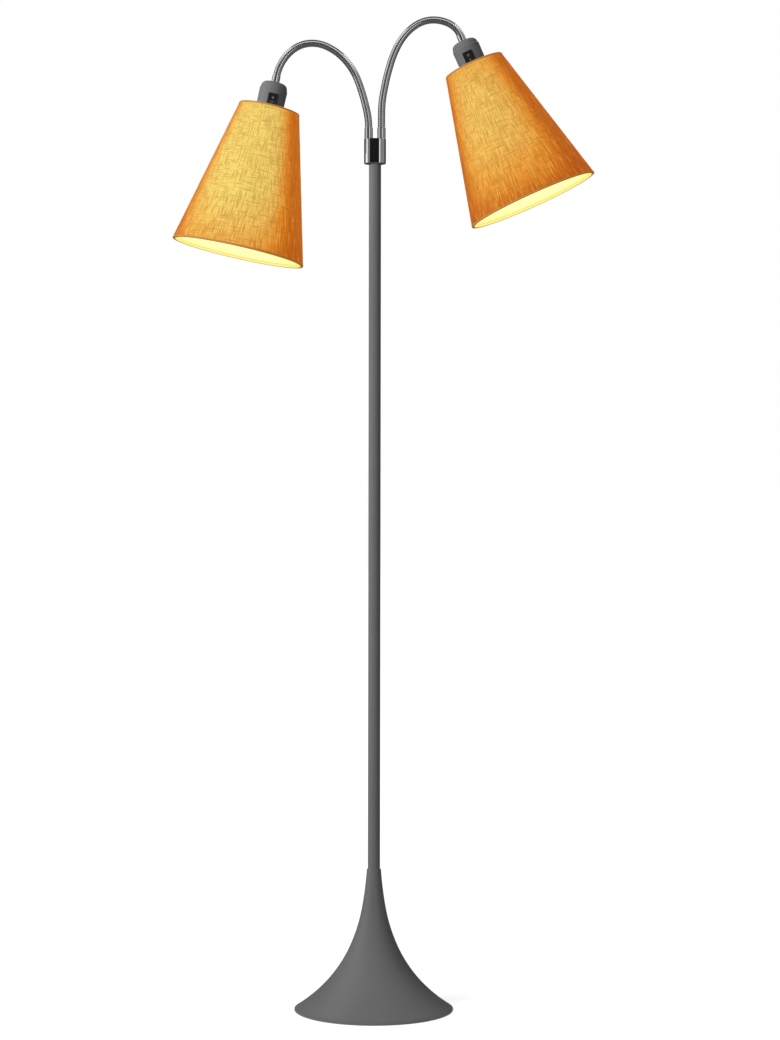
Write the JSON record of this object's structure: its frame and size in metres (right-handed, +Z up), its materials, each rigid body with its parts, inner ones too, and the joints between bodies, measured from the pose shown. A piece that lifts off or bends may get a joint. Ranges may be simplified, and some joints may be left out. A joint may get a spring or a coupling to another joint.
{
  "type": "floor lamp",
  "caption": "Floor lamp with a trumpet base, a straight pole and two gooseneck arms, each with a rocker-switched lampholder and a conical fabric shade.",
  "frame": {"origin": "on the floor, at the middle of the round foot", "axes": "+Z up along the pole, +X to the right of someone who faces the two switches, +Y away from them"},
  "size_m": [0.6239, 0.2348, 1.471],
  "materials": {
    "grey_paint": "satin",
    "polished_chrome": "polished",
    "cast_weight": "matte",
    "plain_steel": "satin",
    "white_wire": "satin",
    "felt": "matte",
    "black_plastic": "satin",
    "moulded_holder": "satin",
    "contact_brass": "satin",
    "shade_linen": "matte",
    "shade_film": "satin",
    "opal_glass": "satin",
    "cap_metal": "satin"
  },
  "bodies": {
    "stand": {"arm_collar": "polished_chrome", "base_plate": "plain_steel", "base_shell": "grey_paint", "base_weight": "cast_weight", "collar_screws": "plain_steel", "cord_bush": "black_plastic", "foot_pad": "felt", "left_arm_ferrule": "polished_chrome", "left_hose_1": "polished_chrome", "pole": "grey_paint", "pole_flex": "black_plastic", "pole_plug": "plain_steel", "right_arm_ferrule": "polished_chrome", "right_hose_1": "polished_chrome", "tie_nut": "plain_steel", "tie_tube": "plain_steel", "tie_washer": "plain_steel", "wire_splices": "black_plastic"},
    "left_arm_lower": {"left_hose_2": "polished_chrome"},
    "left_arm_middle": {"left_hose_3": "polished_chrome"},
    "left_arm_upper": {"left_hose_4": "polished_chrome"},
    "left_head": {"left_hose_5": "polished_chrome", "left_end_ferrule": "polished_chrome", "left_holder_nut": "plain_steel", "left_holder_cover": "grey_paint", "left_switch_body": "black_plastic", "left_switch_blades": "contact_brass", "left_socket_body": "moulded_holder", "left_screw_shell": "contact_brass", "left_centre_contact": "contact_brass", "left_shade_ring": "moulded_holder", "left_shade_frame": "white_wire", "left_shade_bottom_ring": "white_wire", "left_shade_cover": "shade_linen", "left_shade_liner": "shade_film", "left_bulb_glass": "opal_glass", "left_bulb_cap": "cap_metal"},
    "left_rocker": {"left_switch_rocker": "black_plastic"},
    "right_arm_lower": {"right_hose_2": "polished_chrome"},
    "right_arm_middle": {"right_hose_3": "polished_chrome"},
    "right_arm_upper": {"right_hose_4": "polished_chrome"},
    "right_head": {"right_hose_5": "polished_chrome", "right_end_ferrule": "polished_chrome", "right_holder_nut": "plain_steel", "right_holder_cover": "grey_paint", "right_switch_body": "black_plastic", "right_switch_blades": "contact_brass", "right_socket_body": "moulded_holder", "right_screw_shell": "contact_brass", "right_centre_contact": "contact_brass", "right_shade_ring": "moulded_holder", "right_shade_frame": "white_wire", "right_shade_bottom_ring": "white_wire", "right_shade_cover": "shade_linen", "right_shade_liner": "shade_film", "right_bulb_glass": "opal_glass", "right_bulb_cap": "cap_metal"},
    "right_rocker": {"right_switch_rocker": "black_plastic"}
  },
  "joints": [
    {"name": "left_arm_lean", "type": "hinge", "parent": "stand", "child": "left_arm_lower", "pos_m": [-0.01806, 0, 1.3533], "axis": [0, -1, 0], "range_deg": [-25, 15]},
    {"name": "left_arm_swing", "type": "hinge", "parent": "left_arm_lower", "child": "left_arm_middle", "pos_m": [-0.03729, 0, 1.39728], "axis": [0.8141, 0, 0.5807], "range_deg": [-30, 30]},
    {"name": "left_arm_curl", "type": "hinge", "parent": "left_arm_middle", "child": "left_arm_upper", "pos_m": [-0.07434, 0, 1.42715], "axis": [0, 1, 0], "range_deg": [-12, 30]},
    {"name": "left_arm_aim", "type": "hinge", "parent": "left_arm_upper", "child": "left_head", "pos_m": [-0.12032, 0, 1.42223], "axis": [-0.5807, 0, 0.8141], "range_deg": [-30, 30]},
    {"name": "left_switch", "type": "hinge", "parent": "left_head", "child": "left_rocker", "pos_m": [-0.15151, -0.01808, 1.34285], "axis": [-0.965, -0.1564, 0.2104], "range_deg": [0, 20]},
    {"name": "right_arm_lean", "type": "hinge", "parent": "stand", "child": "right_arm_lower", "pos_m": [0.01192, 0, 1.35412], "axis": [0, 1, 0], "range_deg": [-25, 15]},
    {"name": "right_arm_swing", "type": "hinge", "parent": "right_arm_lower", "child": "right_arm_middle", "pos_m": [0.02286, 0, 1.40106], "axis": [0.9563, 0, -0.2924], "range_deg": [-30, 30]},
    {"name": "right_arm_curl", "type": "hinge", "parent": "right_arm_middle", "child": "right_arm_upper", "pos_m": [0.04452, 0, 1.44381], "axis": [0, -1, 0], "range_deg": [-12, 30]},
    {"name": "right_arm_aim", "type": "hinge", "parent": "right_arm_upper", "child": "right_head", "pos_m": [0.08585, 0, 1.46559], "axis": [0.0087, 0, -1], "range_deg": [-30, 30]},
    {"name": "right_switch", "type": "hinge", "parent": "right_head", "child": "right_rocker", "pos_m": [0.13925, -0.01808, 1.40575], "axis": [-0.903, 0.1564, -0.4002], "range_deg": [0, 20]}
  ]
}
